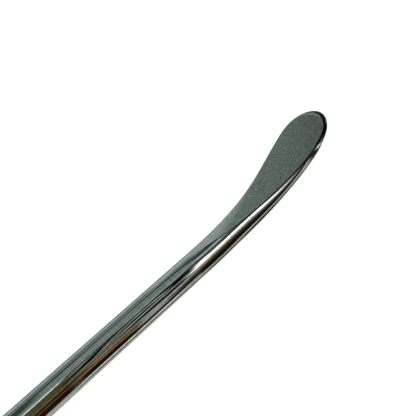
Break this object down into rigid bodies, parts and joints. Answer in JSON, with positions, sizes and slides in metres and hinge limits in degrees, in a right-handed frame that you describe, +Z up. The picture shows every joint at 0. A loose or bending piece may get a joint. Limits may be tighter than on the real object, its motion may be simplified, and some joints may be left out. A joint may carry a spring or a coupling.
{
  "type": "clay modeling tool",
  "caption": "Double-ended clay modeling tool: bent flat-faced steel spatula, wooden faceted handle with brass ferrules, steel leaf blade.",
  "frame": {"origin": "centre of the handle's bottom flat, on the plane that the tool rests on", "axes": "+X along the tool towards the spatula, +Z up and out of the spatula's flat face, +Y to the left seen from behind the spatula"},
  "size_m": [0.2442, 0.011, 0.0139],
  "materials": {
    "polished_steel": "mirror polished shank and back, satin spatula face",
    "turned_brass": "turned, lightly polished",
    "oiled_beech": "oiled, satin"
  },
  "bodies": {
    "root": {"spatula_steel": "polished_steel", "leaf_steel": "polished_steel", "front_ferrule": "turned_brass", "rear_ferrule": "turned_brass", "front_rivet": "turned_brass", "rear_rivet": "turned_brass", "wooden_handle": "oiled_beech"}
  },
  "joints": []
}
